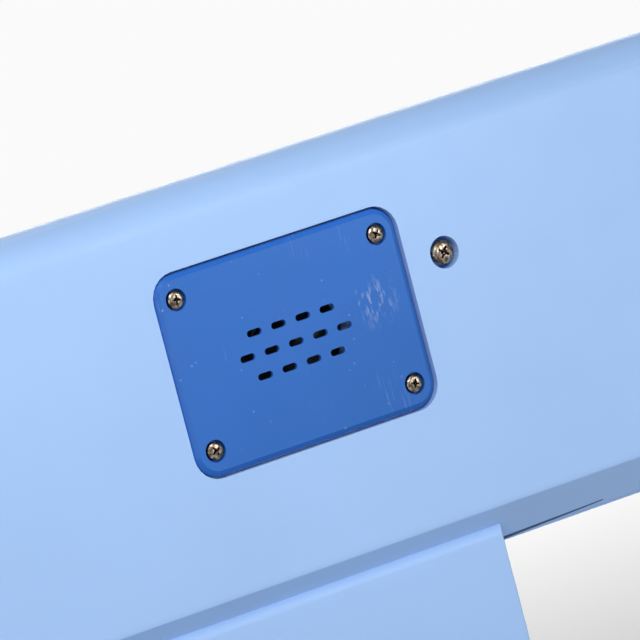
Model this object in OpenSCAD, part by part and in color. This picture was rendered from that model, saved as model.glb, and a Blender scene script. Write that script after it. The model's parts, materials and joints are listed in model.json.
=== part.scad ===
// Cashless parking pay station head on a bolt-down neck.
// Front faces -Y, +Z is up, and the origin is the centre of the base bolt pattern.

/* [Head] */
// Width of the head, left to right
head_w = 370; // [350:1:430]
// Depth of the head at its lower edge
head_d = 110; // [104:1:140]
// Height of the underside of the head above the ground
head_z = 112; // [80:1:200]
// Height of the speaker cover's centre above the underside
cover_rise = 81; // [78:1:95]
// Height of the head above the speaker cover's centre
head_rise = 56; // [54:1:75]
// Thickness of the moulded walls
wall = 3; // [2.6:0.1:3.6]
// Radius of the upper rear edge
top_r = 12; // [8:1:14]
// Fall of the top towards the front, degrees
top_slope = 8.5; // [4:0.5:12]
// Slope of the front panel from upright, degrees
face_tilt = 22; // [15:1:26]
// Height of the upright lip under the front panel
lip_h = 14; // [10:1:18]
// Height of the slanted strip along the lower rear edge
strip_h = 12; // [8:1:14]
// Depth of the rear housing, front to back
rear_depth = 15.5; // [15:0.5:18]
// Height that the rear housing's lower edge stands above the front one's
edge_step = 1.6; // [1:0.1:2.5]
// Thickness of the gasket between the housings
gasket_t = 0.8; // [0.6:0.1:1.2]

/* [Neck and base] */
// Width of the neck
neck_w = 170; // [150:1:190]
// Depth of the neck
neck_d = 80; // [76:1:90]
// Set-back of the neck's rear face from the head's rear face
neck_back = 5; // [3:0.5:7]
// Width of the base plate
base_w = 230; // [226:1:260]
// Depth of the base plate
base_d = 130; // [124:1:150]
// Thickness of the base plate
base_t = 6; // [5:0.5:10]
// Spacing of the mounting holes, left to right
bolt_x = 202; // [198:1:220]
// Spacing of the mounting holes, front to back
bolt_y = 102; // [98:1:110]
// Diameter of the mounting holes
bolt_hole = 9; // [7:0.5:12]
// Diameter of the cable entry in the base plate
entry_d = 25; // [18:1:27]

/* [Speaker cover] */
// Place of the speaker cover, left to right
cover_x = -30; // [-34:1:-20]
// Width of the speaker cover
cover_w = 85; // [80:1:90]
// Height of the speaker cover
cover_h = 62.5; // [60:0.5:70]
// Thickness of the speaker cover
cover_t = 4.6; // [4:0.1:5]
// Gap around the speaker cover
cover_gap = 0.75; // [0.4:0.05:1]
// Corner radius of the speaker cover
cover_r = 7.5; // [5:0.5:10]
// Spacing of the cover screws, left to right
cover_bolt_x = 71; // [68:0.5:73]
// Spacing of the cover screws, up and down
cover_bolt_z = 47; // [46:0.5:49]
// Length of a sound slot
slot_l = 5.1; // [4:0.1:6]
// Width of a sound slot
slot_w = 2.1; // [1.5:0.1:2.6]
// Spacing of the sound slots along a row
slot_pitch = 8.6; // [7.5:0.1:9]
// Spacing of the rows of sound slots
row_pitch = 6.75; // [5:0.25:8]

/* [Front panel] */
// Width of the display window
window_w = 120; // [110:1:122]
// Height of the display window
window_h = 84; // [80:1:86]
// Spacing of the keys both ways
key_pitch = 18.5; // [18:0.25:19]
// Width of a key
key_w = 14; // [12:0.5:15]
// Height of a key
key_h = 13; // [11:0.5:14]
// Travel of a key
key_travel = 1.2; // [0.8:0.1:1.3]
// Width of the printer door
door_w = 82; // [78:1:84]
// Diameter of the help button
help_d = 11.4; // [9:0.2:12]
// Travel of the help button
help_travel = 2; // [1:0.5:2.5]
// Diameter of the lock cylinder
lock_d = 12; // [10:0.5:14]

/* [Printer] */
// Radius of the full paper roll
roll_r = 24; // [18:1:25]
// Width of the paper roll
roll_w = 57.5; // [55:0.5:58]
// Radius of the platen roller
platen_r = 6; // [5:0.25:6.5]
// Module of the feed gears
gear_m = 0.8; // [0.7:0.05:0.85]

/* [Hidden] */
$fn = 48;

// fits and gaps
fit = 0.3;              // gap between a part and its pocket
run = 0.05;             // radial clearance of a shaft in its bearing

// main places
rear_y = neck_d / 2 + neck_back;
front_y = rear_y - head_d;
split_y = rear_y - rear_depth;
cover_z = head_z + cover_rise;
peak_z = cover_z + head_rise;
face_z = head_z + lip_h;
neck_edge_r = 1.5;      // radius of the neck's upright edges
neck_top_r = 5;
neck_top = head_z + edge_step + strip_h - 5.2;
rear_low_z = head_z + edge_step;
pocket_d = cover_t + 0.3;
cover_y = rear_y - pocket_d + 0.1;
cover_skin = 1.3;       // thickness of the speaker cover at the sound slots
cover_edge = 1.6;       // width of the slope round the speaker cover
cover_seat = 3.1;       // height of the screw seats above the pocket's floor
tower_r = 3;            // radius of the screw towers

// the front panel's own frame: x to the right, v up the slope, w outwards
face_v = 66;            // height of the display's centre up the slope
window_x = -112;
keypad_x = -8;
keypad_v = 50;
key_foot = 1.2;         // width of the rim under a key, each side
key_low = -3.2;         // underside of that rim
mat_top = key_low - key_travel - fit;
frame_w = 2 * key_pitch + key_w + 2 * key_foot + 16.6;
frame_h = 3 * key_pitch + key_h + 2 * key_foot + 9.1;
post_r = 2;             // radius of the keypad frame's posts
scanner_w = 44;
scanner_h = 17;
scanner_v = keypad_v + frame_h / 2 + 13;
reader_x = keypad_x + frame_w / 2 + 31;
reader_v = 82;
reader_w = 50;
reader_h = 56;
card_z = cover_z - 39;
card_y = front_y + (card_z + 11 - face_z) * tan(face_tilt) + wall / cos(face_tilt) + fit;
card_slot = 27.3;       // half the slot's width
card_slot_h = 4.6;
card_tongue = card_slot + 1.7;
card_nose = card_slot + 3.2;
door_x = head_w / 2 - 50;
door_low = 13;          // the door hinge's height up the slope
door_high = 112;
receipt_v = 78;         // centre of the receipt outlet
outlet_w = 62;
outlet_h = 12;
lock_x = door_x + 28;
lock_v = door_high - 11;
help_x = window_x + 50;
help_v = 12.5;
help_low = -5.6 - help_travel; // underside of the pressed button
lamp_x = window_x - 12;
lamp_v = 12.5;
lamp_w = 80;
lamp_h = 7;
recess = 1.8;           // depth of the seats in the front panel
behind = wall + fit;    // depth of the first parts behind the front panel
window_lip = 5;
panel_t = 6.3;          // thickness of the display panel
panel_screw_x = window_w / 2 + 4;
panel_screw_v = window_h / 2 - 6;

// inside the neck and head
entry_x = -62;
chassis_y = 16;
chassis_t = 1.5;
mast_w = 50;
mast_d = 24;
mast_wall = 2.5;
mast_y = chassis_y - mast_d / 2;
foot_x = 36;            // half the spacing of the mast's foot bolts
foot_y = 20;
foot_t = 4;             // thickness of the mast's foot
mast_screw_x = 15;
board_x = 6;            // left edge of the main board
chassis_low = head_z + 36;
chassis_high = head_z + 112;
case_rise = 11.7;         // height of the upper case screws above the cover's centre
case_x = 86.6;
case_cbore_r = 5;
case_boss_r = 3.2;      // the boss that carries the head of an upper or end screw
case_head_r = 3.5;
case_head_big = 3.75;
case_depth = 2.4;
case_ring_depth = 7.5;
case_screw_l = rear_y - case_depth - chassis_y - 8;
end_screw_x = head_w / 2 - 19;
end_screw_z = cover_z - 45;
neck_screw_x = neck_w / 2 - 15;
neck_screw_z = 30;
speaker_r = 20;
platen_y = -8;
platen_z = cover_z + 10;
roll_y = -12;
roll_z = cover_z - 36;
print_half = 33;        // half the printer frame's width
gear_teeth = 24;
pinion_teeth = 12;
pinion_angle = -60;
gear_gap = gear_m * (gear_teeth + pinion_teeth) / 2 + 0.05;
pinion_y = platen_y + gear_gap * cos(pinion_angle);
pinion_z = platen_z + gear_gap * sin(pinion_angle);
pinion_phase = 15;      // turn that puts a gap of the pinion on a tooth of the gear

// colours
light_blue = [0.67, 0.80, 0.98];
dark_blue = [0.25, 0.46, 0.79];
steel = [0.72, 0.72, 0.74];
black = [0.10, 0.10, 0.11];
grey = [0.35, 0.36, 0.38];
green = [0.10, 0.38, 0.22];

// ---- outlines ----
function unit(a) = a / norm(a);
function bend(p0, p1, p2) = let (c = unit(p0 - p1) * unit(p2 - p1)) acos(c);
function towards(p0, p1, p2) = unit(unit(p0 - p1) + unit(p2 - p1));
function inset_corner(p0, p1, p2, e) = p1 + towards(p0, p1, p2) * e / sin(bend(p0, p1, p2) / 2);
function corner_arc(p0, p1, p2, r, n) =
    let (half = bend(p0, p1, p2) / 2)
    let (c = p1 + towards(p0, p1, p2) * r / sin(half))
    let (s = p1 + unit(p0 - p1) * r / tan(half) - c)
    let (e = p1 + unit(p2 - p1) * r / tan(half) - c)
    let (a = atan2(s[1], s[0]))
    let (turn = ((atan2(e[1], e[0]) - a + 540) % 360) - 180)
    [for (i = [0 : n]) c + r * [cos(a + turn * i / n), sin(a + turn * i / n)]];

// a convex outline with each corner at its own radius, moved inwards by e
function outline(corners, e = 0, n = 8) =
    let (k = len(corners))
    let (p = [for (i = [0 : k - 1]) inset_corner([corners[(i + k - 1) % k][0], corners[(i + k - 1) % k][1]],
        [corners[i][0], corners[i][1]], [corners[(i + 1) % k][0], corners[(i + 1) % k][1]], e)])
    [for (i = [0 : k - 1]) each corner_arc(p[(i + k - 1) % k], p[i], p[(i + 1) % k],
        max(corners[i][2] - e, 0.5), n)];

function box_outline(w, h, r) =
    outline([[-w / 2, -h / 2, r], [w / 2, -h / 2, r], [w / 2, h / 2, r], [-w / 2, h / 2, r]], 0, 6);

// where the top meets the rear face and the front panel
rear_top = peak_z + top_r * (1 / tan((90 - top_slope) / 2) - 1);
face_top = (rear_top - (rear_y - front_y) * tan(top_slope) - face_z * tan(face_tilt) * tan(top_slope))
    / (1 - tan(face_tilt) * tan(top_slope));
face_top_y = front_y + (face_top - face_z) * tan(face_tilt);

head_section = [
    [rear_y - strip_h - edge_step, head_z, 1],
    [rear_y, head_z + strip_h + edge_step, 3],
    [rear_y, rear_top, top_r],
    [face_top_y, face_top, 8],
    [front_y, face_z, 6],
    [front_y + 6, head_z, 4]];

// ---- helpers ----
module on_face(x = 0, v = 0, w = 0) {
    translate([0, front_y, face_z])
        rotate([90 - face_tilt, 0, 0])
            translate([x, v, w])
                children();
}

// x to the right, y downwards, z out of the rear face
module on_back(x, z, y = rear_y) {
    translate([x, y, z])
        rotate([-90, 0, 0])
            children();
}

module pad(w, h, t, r = 2) {
    linear_extrude(t)
        polygon(box_outline(w, h, r));
}

module block(x, y, z) {
    translate([x[0], y[0], z[0]])
        cube([x[1] - x[0], y[1] - y[0], z[1] - z[0]]);
}

module rod_x(r, x0, x1) {
    translate([x0, 0, 0])
        rotate([0, 90, 0])
            cylinder(r = r, h = x1 - x0);
}

// a pan head standing on z = 0 with its shank below
module pan_screw(head_r, head_h, shank_r, length) {
    difference() {
        union() {
            rotate_extrude()
                polygon([[0, 0], [head_r * 0.94, 0], [head_r, head_h * 0.25], [head_r * 0.93, head_h * 0.55],
                    [head_r * 0.72, head_h * 0.83], [head_r * 0.4, head_h * 0.97], [0, head_h]]);
            translate([0, 0, -length])
                cylinder(r = shank_r, h = length + 0.01);
        }
        for (a = [0, 90])
            rotate([0, 0, a])
                translate([-head_r * 0.52, -head_r * 0.11, head_h * 0.4])
                    cube([head_r * 1.04, head_r * 0.22, head_h]);
    }
}

function involute(rb, t) = rb * [cos(t) + t * PI / 180 * sin(t), sin(t) - t * PI / 180 * cos(t)];
function turned(p, a) = [p[0] * cos(a) - p[1] * sin(a), p[0] * sin(a) + p[1] * cos(a)];
function roll_angle(rb, r) = r <= rb ? 0 : sqrt((r / rb) * (r / rb) - 1) * 180 / PI;

// an involute gear about z with its first tooth on +x
module gear(teeth, m, t, play = 0.12) {
    rp = m * teeth / 2;
    rb = rp * cos(20);
    ro = rp + m * 0.95;
    root = rp - m * 1.2;
    at_pitch = involute(rb, roll_angle(rb, rp));
    half = 90 / teeth - play / rp * 90 / PI + atan2(at_pitch[1], at_pitch[0]);
    flank = [for (s = [0 : 3]) involute(rb, roll_angle(rb, ro) * s / 3)];
    linear_extrude(t)
        polygon([for (i = [0 : teeth - 1]) each concat(
            [turned([root, 0], i * 360 / teeth - half)],
            [for (s = [0 : 3]) turned(flank[s], i * 360 / teeth - half)],
            [for (s = [3 : -1 : 0]) turned([flank[s][0], -flank[s][1]], i * 360 / teeth + half)],
            [turned([root, 0], i * 360 / teeth + half)])]);
}

// ---- housing ----
module head_solid(e = 0) {
    reach = 400;
    intersection() {
        translate([-head_w / 2 + e, 0, 0])
            rotate([90, 0, 90])
                linear_extrude(head_w - 2 * e)
                    polygon(outline(head_section, e));
        linear_extrude(reach)
            polygon(outline([[-head_w / 2, front_y - 20, 2], [head_w / 2, front_y - 20, 2],
                [head_w / 2, rear_y, top_r], [-head_w / 2, rear_y, top_r]], e));
        on_face(0, -reach / 2, 0)
            rotate([-90, 0, 0])
                linear_extrude(reach * 1.5)
                    polygon(outline([[-head_w / 2, 0, 9], [head_w / 2, 0, 9],
                        [head_w / 2, reach / 2, 2], [-head_w / 2, reach / 2, 2]], e));
        translate([0, reach / 2, 0])
            rotate([90, 0, 0])
                linear_extrude(reach)
                    polygon(outline([[-head_w / 2, head_z, 6], [head_w / 2, head_z, 6],
                        [head_w / 2, rear_top, 10], [-head_w / 2, rear_top, 10]], e));
    }
}

module neck_solid(e = 0) {
    half = neck_w / 2 - e;
    low = base_t - (e > 0 ? 1 : 0);
    intersection() {
        translate([-half, 0, 0])
            rotate([90, 0, 90])
                linear_extrude(half * 2)
                    polygon(outline([[neck_d / 2 - e, low, 0.5], [neck_d / 2 - e, neck_top - e, neck_top_r - e],
                        [-neck_d / 2 + e, neck_top - e, 1], [-neck_d / 2 + e, low, 0.5]], 0));
        linear_extrude(neck_top + 1)
            polygon(box_outline(2 * half, neck_d - 2 * e, max(neck_edge_r - e, 0.5)));
    }
}

module case_half(back, e = 0) {
    y0 = back ? split_y + gasket_t / 2 : front_y - 50;
    y1 = back ? rear_y + 50 : split_y - gasket_t / 2;
    intersection() {
        union() {
            head_solid(e);
            neck_solid(e);
        }
        block([-head_w, head_w], [y0, y1], [-1, rear_top + 10]);
    }
}

module shell(back) {
    difference() {
        case_half(back);
        union() {
            head_solid(wall);
            neck_solid(wall);
            // the neck opens into the head
            block([-neck_w / 2 + wall, neck_w / 2 - wall], [-neck_d / 2 + wall, neck_d / 2 - wall - 1.2],
                [neck_top - 10, head_z + wall + 0.5]);
        }
        if (back)
            // the rear housing stops short of the front one's lower edge
            for (s = [-1, 1])
                block([s > 0 ? neck_w / 2 : -head_w, s > 0 ? head_w : -neck_w / 2], [split_y - 1, rear_y],
                    [head_z - 1, rear_low_z]);
    }
}

// the deep ring round a screw boss, open above the boss
module screw_ring() {
    difference() {
        cylinder(r = case_cbore_r, h = 20);
        translate([0, 0, -1])
            cylinder(r = case_boss_r, h = case_ring_depth - case_depth + 1);
    }
}

module rear_housing() {
    floor_y = rear_y - pocket_d - 2.2;
    color(light_blue)
        difference() {
            union() {
                shell(true);
                // pocket for the speaker cover
                on_back(cover_x, cover_z, floor_y)
                    pad(cover_w + 2 * cover_gap + 4, cover_h + 2 * cover_gap + 4,
                        rear_y - floor_y - 1, cover_r + 2);
                for (x = [-1, 1], z = [-1, 1])
                    on_back(cover_x + x * cover_bolt_x / 2, cover_z + z * cover_bolt_z / 2, rear_y - 14)
                        cylinder(r = tower_r, h = 10);
                // towers over the case screws
                for (s = [-1, 1]) {
                    on_back(s * case_x, cover_z + case_rise, split_y)
                        cylinder(r = case_cbore_r + 2, h = rear_depth - 1);
                    on_back(s * end_screw_x, end_screw_z, split_y + 0.4)
                        cylinder(r = case_cbore_r + 2, h = rear_depth - 2);
                    on_back(s * neck_screw_x, neck_screw_z, split_y + 0.4)
                        cylinder(r = case_cbore_r + 2, h = neck_d / 2 - split_y - 2);
                }
            }
            on_back(cover_x, cover_z, rear_y - pocket_d)
                pad(cover_w + 2 * cover_gap, cover_h + 2 * cover_gap, pocket_d + 1, cover_r + cover_gap);
            on_back(cover_x, cover_z, floor_y - 1)
                cylinder(r = speaker_r - 1.5, h = 5);
            for (x = [-1, 1], z = [-1, 1])
                on_back(cover_x + x * cover_bolt_x / 2, cover_z + z * cover_bolt_z / 2, rear_y - 13)
                    cylinder(r = 1.2, h = 12);
            for (s = [-1, 1]) {
                on_back(s * case_x, cover_z + case_rise, rear_y - case_ring_depth)
                    screw_ring();
                on_back(s * case_x, cover_z + case_rise, split_y - 1)
                    cylinder(r = 2, h = 20);
                on_back(s * end_screw_x, end_screw_z, rear_y - case_ring_depth)
                    screw_ring();
                on_back(s * end_screw_x, end_screw_z, split_y - 1)
                    cylinder(r = 2, h = 20);
                on_back(s * neck_screw_x, neck_screw_z, neck_d / 2 - 5)
                    cylinder(r = case_cbore_r, h = 20);
                on_back(s * neck_screw_x, neck_screw_z, split_y - 1)
                    cylinder(r = 2, h = 20);
            }
        }
}

module front_housing() {
    color(light_blue)
        difference() {
            union() {
                shell(false);
                // towers that take the screws at the ends and in the neck
                for (s = [-1, 1]) {
                    on_back(s * end_screw_x, end_screw_z, split_y - 11)
                        cylinder(r = 4.5, h = 11 - gasket_t / 2);
                    block([s > 0 ? end_screw_x : -head_w / 2 + 1, s > 0 ? head_w / 2 - 1 : -end_screw_x],
                        [split_y - 11, split_y - 2], [end_screw_z - 1.5, end_screw_z + 1.5]);
                    on_back(s * neck_screw_x, neck_screw_z, split_y - 11)
                        cylinder(r = 4.5, h = 11 - gasket_t / 2);
                    block([s > 0 ? neck_screw_x : -neck_w / 2 + 1, s > 0 ? neck_w / 2 - 1 : -neck_screw_x],
                        [split_y - 11, split_y - 2], [neck_screw_z - 1.5, neck_screw_z + 1.5]);
                }
                // posts behind the front panel for the display
                for (x = [-1, 1], v = [-1, 1])
                    on_face(window_x + x * panel_screw_x, face_v + v * panel_screw_v, -behind - 6.6)
                        cylinder(r = tower_r, h = 8);
                // bearings of the door pin
                for (s = [-1, 1])
                    on_face(door_x + s * (door_w / 2 + 3.5), door_low, -3)
                        translate([-2.5, -3, -3.5])
                            cube([5, 6, 5]);
            }
            // screw holes
            for (s = [-1, 1]) {
                on_back(s * end_screw_x, end_screw_z, split_y - 10)
                    cylinder(r = 1.5, h = 12);
                on_back(s * neck_screw_x, neck_screw_z, split_y - 10)
                    cylinder(r = 1.5, h = 12);
            }
            for (x = [-1, 1], v = [-1, 1])
                on_face(window_x + x * panel_screw_x, face_v + v * panel_screw_v, -behind - 7.7)
                    cylinder(r = 1.1, h = 8);
            // display window seat and opening
            on_face(window_x, face_v, -recess)
                pad(window_w + 2 * fit, window_h + 2 * fit, 10, 4);
            on_face(window_x, face_v, -10)
                pad(window_w - 2 * window_lip, window_h - 2 * window_lip, 20, 3);
            // status light
            on_face(lamp_x, lamp_v, -10)
                pad(lamp_w + 2 * fit, lamp_h + 2 * fit, 20, 3);
            // keypad seat and opening
            on_face(keypad_x, keypad_v, -recess)
                pad(frame_w + 2 * fit, frame_h + 2 * fit, 10, 4);
            on_face(keypad_x, keypad_v, -12)
                pad(frame_w - 5, frame_h - 4, 20, 2);
            // contactless reader seat
            on_face(reader_x, reader_v, -recess)
                pad(reader_w + 2 * fit, reader_h + 2 * fit, 10, 6);
            // scanner window seat and opening
            on_face(keypad_x, scanner_v, -recess)
                pad(scanner_w + 2 * fit, scanner_h + 2 * fit, 10, 3);
            on_face(keypad_x, scanner_v, -10)
                pad(scanner_w - 8, scanner_h - 7, 20, 2);
            // card slot
            block([reader_x - card_tongue - fit, reader_x + card_tongue + fit], [front_y - 5, card_y + 5],
                [card_z - 8 - fit, card_z + 8 + fit]);
            // help button
            on_face(help_x, help_v, -10)
                cylinder(r = help_d / 2 + 2, h = 20);
            // printer door opening, round at the hinge
            on_face(door_x, (door_low - 3 + door_high) / 2, -10)
                linear_extrude(20)
                    square([door_w + 2 * fit, door_high - door_low + 3 + 2 * fit], center = true);
            on_face(door_x - door_w / 2 - fit, door_low, -3)
                rod_x(3.4, 0, door_w + 2 * fit);
            on_face(door_x - door_w / 2 - 7, door_low, -3)
                rod_x(1.03, 0, door_w + 14);
        }
}

module housing_gasket() {
    color(black)
        intersection() {
            difference() {
                union() {
                    head_solid(0.9);
                    neck_solid(0.9);
                }
                head_solid(wall);
                neck_solid(wall);
                block([-neck_w / 2 + wall, neck_w / 2 - wall], [-neck_d, neck_d],
                    [neck_top - 10, head_z + wall + 0.5]);
                for (s = [-1, 1])
                    block([s > 0 ? neck_w / 2 : -head_w, s > 0 ? head_w : -neck_w / 2],
                        [split_y - 5, rear_y], [head_z - 1, rear_low_z + 0.5]);
            }
            block([-head_w, head_w], [split_y - gasket_t / 2, split_y + gasket_t / 2], [base_t, rear_top]);
        }
}

module case_screws() {
    color(steel)
        for (s = [-1, 1]) {
            on_back(s * case_x, cover_z + case_rise, rear_y - case_depth)
                rotate([0, 0, 36])
                    pan_screw(case_head_big, 2.3, 1.7, case_screw_l);
            on_back(s * end_screw_x, end_screw_z, rear_y - case_depth)
                pan_screw(case_head_big, 2.3, 1.4, case_screw_l);
            on_back(s * neck_screw_x, neck_screw_z, neck_d / 2 - 5)
                pan_screw(case_head_r, 2.7, 1.4, 12);
        }
}

// ---- base and frame ----
module base_plate() {
    color(grey)
        difference() {
            pad(base_w, base_d, base_t, 12);
            for (x = [-1, 1], y = [-1, 1])
                translate([x * bolt_x / 2, y * bolt_y / 2, -1])
                    cylinder(r = bolt_hole / 2, h = base_t + 2);
            for (x = [-1, 1], y = [-1, 1])
                translate([x * foot_x, mast_y + y * foot_y, -1])
                    cylinder(r = 2.1, h = base_t + 2);
            translate([entry_x, mast_y, -1])
                cylinder(r = entry_d / 2, h = base_t + 2);
        }
}

module cable_grommet() {
    color(black)
        translate([entry_x, mast_y, 0])
            rotate_extrude()
                polygon([[entry_d / 2 - 3.5, 0.6], [entry_d / 2 - 0.05, 0.6],
                    [entry_d / 2 - 0.05, base_t + 0.1],
                    [entry_d / 2 + 2.5, base_t + 0.1], [entry_d / 2 + 2.5, base_t + 1.6],
                    [entry_d / 2 - 2, base_t + 2.6], [entry_d / 2 - 3.5, base_t + 2.6]]);
}

module mast() {
    color(grey)
        difference() {
            union() {
                translate([0, mast_y, base_t])
                    pad(2 * foot_x + 18, 2 * foot_y + 16, foot_t, 5);
                block([-mast_w / 2, mast_w / 2], [chassis_y - mast_d, chassis_y], [base_t, chassis_low + 17]);
            }
            block([-mast_w / 2 + mast_wall, mast_w / 2 - mast_wall],
                [chassis_y - mast_d + mast_wall, chassis_y - mast_wall], [base_t - 1, chassis_low + 20]);
            for (x = [-1, 1], y = [-1, 1])
                translate([x * foot_x, mast_y + y * foot_y, 0])
                    cylinder(r = 2.6, h = base_t + 10);
            for (x = [-mast_screw_x, mast_screw_x])
                on_back(x, chassis_low + 8, chassis_y - 5)
                    cylinder(r = 2.1, h = 10);
        }
}

module mast_bolts() {
    color(steel)
        for (x = [-1, 1], y = [-1, 1])
            translate([x * foot_x, mast_y + y * foot_y, base_t + foot_t])
                difference() {
                    union() {
                        cylinder(r = 4.2, h = 5);
                        translate([0, 0, -base_t - 3])
                            cylinder(r = 2.05, h = base_t + 4);
                    }
                    translate([0, 0, 2])
                        cylinder(r = 2.3, h = 5, $fn = 6);
                }
}

module chassis() {
    color(steel)
        difference() {
            union() {
                block([-head_w / 2 + 25, head_w / 2 - 15], [chassis_y, chassis_y + chassis_t],
                    [chassis_low, chassis_high]);
                // posts for the case screws
                for (s = [-1, 1])
                    on_back(s * case_x, cover_z + case_rise, chassis_y)
                        cylinder(r = 4, h = split_y - chassis_y - 0.3);
                // posts for the main board
                for (x = [board_x + 24, board_x + 70], z = [chassis_low + 8, chassis_low + 50])
                    on_back(x, z, chassis_y)
                        cylinder(r = 2.5, h = 6);
                // arms for the paper roll, with its spindle
                for (s = [-1, 1])
                    block([door_x + s * (roll_w / 2 + 2.5) - 1, door_x + s * (roll_w / 2 + 2.5) + 1],
                        [roll_y - 6, chassis_y + 0.5], [roll_z - 6, roll_z + 6]);
                translate([0, roll_y, roll_z])
                    rod_x(3, door_x - roll_w / 2 - 3, door_x + roll_w / 2 + 3);
            }
            for (x = [-mast_screw_x, mast_screw_x])
                on_back(x, chassis_low + 8, chassis_y - 5)
                    cylinder(r = 2.5, h = 10);
            for (s = [-1, 1])
                on_back(s * case_x, cover_z + case_rise, chassis_y - 1)
                    cylinder(r = 1.75, h = 20);
            // opening behind the speaker
            on_back(cover_x, cover_z, chassis_y - 1)
                cylinder(r = 14, h = 5);
        }
}

module chassis_screws() {
    color(steel)
        for (x = [-mast_screw_x, mast_screw_x])
            on_back(x, chassis_low + 8, chassis_y + chassis_t)
                pan_screw(4, 2.6, 2.05, 6);
}

// ---- speaker ----
module speaker_cover() {
    color(dark_blue)
        difference() {
            hull()
                on_back(cover_x, cover_z, cover_y) {
                    pad(cover_w, cover_h, cover_t - 1.2, cover_r);
                    pad(cover_w - 2 * cover_edge, cover_h - 2 * cover_edge, cover_t, cover_r - cover_edge);
                }
            // thinner behind the sound slots
            on_back(cover_x, cover_z, cover_y - 1)
                pad(5 * slot_pitch + 5, 3 * row_pitch + 4, cover_t - cover_skin + 1, 3);
            for (x = [-1, 1], z = [-1, 1])
                on_back(cover_x + x * cover_bolt_x / 2, cover_z + z * cover_bolt_z / 2, rear_y - pocket_d - 1) {
                    cylinder(r = 1.6, h = 20);
                    translate([0, 0, 1 + cover_seat])
                        cylinder(r = 3.4, h = 20);
                }
            for (row = [-1, 0, 1])
                let (count = row == 0 ? 5 : 4)
                    for (i = [0 : count - 1])
                        on_back(cover_x + (i - (count - 1) / 2) * slot_pitch, cover_z + row * row_pitch,
                            rear_y - pocket_d - 1)
                            pad(slot_l, slot_w, 20, slot_w / 2 - 0.01);
        }
}

module cover_screws() {
    color(steel)
        for (x = [-1, 1], z = [-1, 1])
            on_back(cover_x + x * cover_bolt_x / 2, cover_z + z * cover_bolt_z / 2, rear_y - pocket_d + cover_seat)
                pan_screw(2.8, 2, 1.15, 9);
}

module speaker_gasket() {
    color(black)
        on_back(cover_x, cover_z, rear_y - pocket_d - 3.7)
            difference() {
                cylinder(r = speaker_r, h = 1.5);
                translate([0, 0, -1])
                    cylinder(r = speaker_r - 2.5, h = 4);
            }
}

module speaker_basket() {
    color(steel)
        on_back(cover_x, cover_z, rear_y - pocket_d - 3.7)
            rotate_extrude()
                polygon([[speaker_r, 0], [speaker_r, -1], [speaker_r - 2, -1.2],
                    [12, -7], [9, -7], [9, -8], [12.6, -8],
                    [speaker_r - 2.4, -2.2], [speaker_r, -2.2],
                    [speaker_r + 0.01, -2.2], [speaker_r + 0.01, 0]]);
}

module speaker_magnet() {
    color(grey)
        on_back(cover_x, cover_z, rear_y - pocket_d - 3.7)
            translate([0, 0, -13])
                cylinder(r = 11, h = 4.95);
}

module speaker_cone() {
    color([0.55, 0.42, 0.25])
        on_back(cover_x, cover_z, rear_y - pocket_d - 3.7)
            rotate_extrude()
                polygon([[0, -2.6], [3, -3.1], [5.5, -4.6], [7, -6.4], [8, -6.4], [speaker_r - 4.6, -0.9],
                    [speaker_r - 3.3, -0.2], [speaker_r - 2.6, -0.2],
                    [speaker_r - 2.6, -0.6], [speaker_r - 3.3, -0.7],
                    [speaker_r - 4.5, -1.5], [8, -6.9], [6.6, -6.9], [5.2, -5.1], [2.9, -3.6], [0, -3.1]]);
}

// ---- display ----
module display_window() {
    color([0.08, 0.09, 0.11])
        on_face(window_x, face_v, -recess + 0.05)
            pad(window_w, window_h, recess, 4);
}

module display_panel() {
    color([0.12, 0.13, 0.15])
        on_face(window_x, face_v, -behind - panel_t)
            pad(window_w - 2 * window_lip + 4, window_h - 2 * window_lip + 4, panel_t, 1);
}

module display_bracket() {
    color(steel)
        on_face(window_x, face_v, -behind - panel_t - 1.8)
            difference() {
                union() {
                    pad(window_w - 6, window_h - 4, 1.5, 3);
                    for (v = [-1, 1])
                        translate([0, v * panel_screw_v, 0])
                            pad(window_w + 14, 7, 1.5, 3);
                }
                translate([0, 0, -1])
                    pad(window_w - 50, window_h - 40, 4, 4);
                for (x = [-1, 1], v = [-1, 1])
                    translate([x * panel_screw_x, v * panel_screw_v, -1])
                        cylinder(r = 1.3, h = 4);
            }
}

module display_screws() {
    color(steel)
        for (x = [-1, 1], v = [-1, 1])
            on_face(window_x + x * panel_screw_x, face_v + v * panel_screw_v, -behind - panel_t - 1.8)
                rotate([180, 0, 0])
                    pan_screw(2.4, 1.6, 1.05, 7);
}

module status_lens() {
    color([0.85, 0.9, 0.92])
        on_face(lamp_x, lamp_v, -wall)
            pad(lamp_w, lamp_h, wall + 0.6, 2.9);
}

module status_board() {
    color(green)
        on_face(lamp_x, lamp_v, -behind - 1.6)
            pad(lamp_w + 6, lamp_h + 2, 1.6, 1);
}

// ---- keypad ----
module keypad_frame() {
    color(grey)
        on_face(keypad_x, keypad_v, -recess + 0.05)
            difference() {
                union() {
                    pad(frame_w, frame_h, 3, 4);
                    for (x = [-1, 1], v = [-1, 1])
                        translate([x * (frame_w / 2 - 5), v * (frame_h / 2 - 4.4), -5])
                            cylinder(r = post_r, h = 6);
                }
                for (i = [-1 : 1], j = [-1.5 : 1.5])
                    translate([i * key_pitch, j * key_pitch, -1])
                        pad(key_w + 2 * fit, key_h + 2 * fit, 10, 1.5);
            }
}

module key(column, row, tone) {
    color(tone)
        on_face(keypad_x + column * key_pitch, keypad_v + row * key_pitch, 0) {
            translate([0, 0, key_low])
                pad(key_w + 2 * key_foot, key_h + 2 * key_foot, 1.2, 1.5);
            translate([0, 0, -2.5])
                pad(key_w, key_h, 5.6, 1.5);
            translate([0, 0, 3])
                pad(key_w - 1.4, key_h - 1.4, 0.7, 1.2);
        }
}

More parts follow.
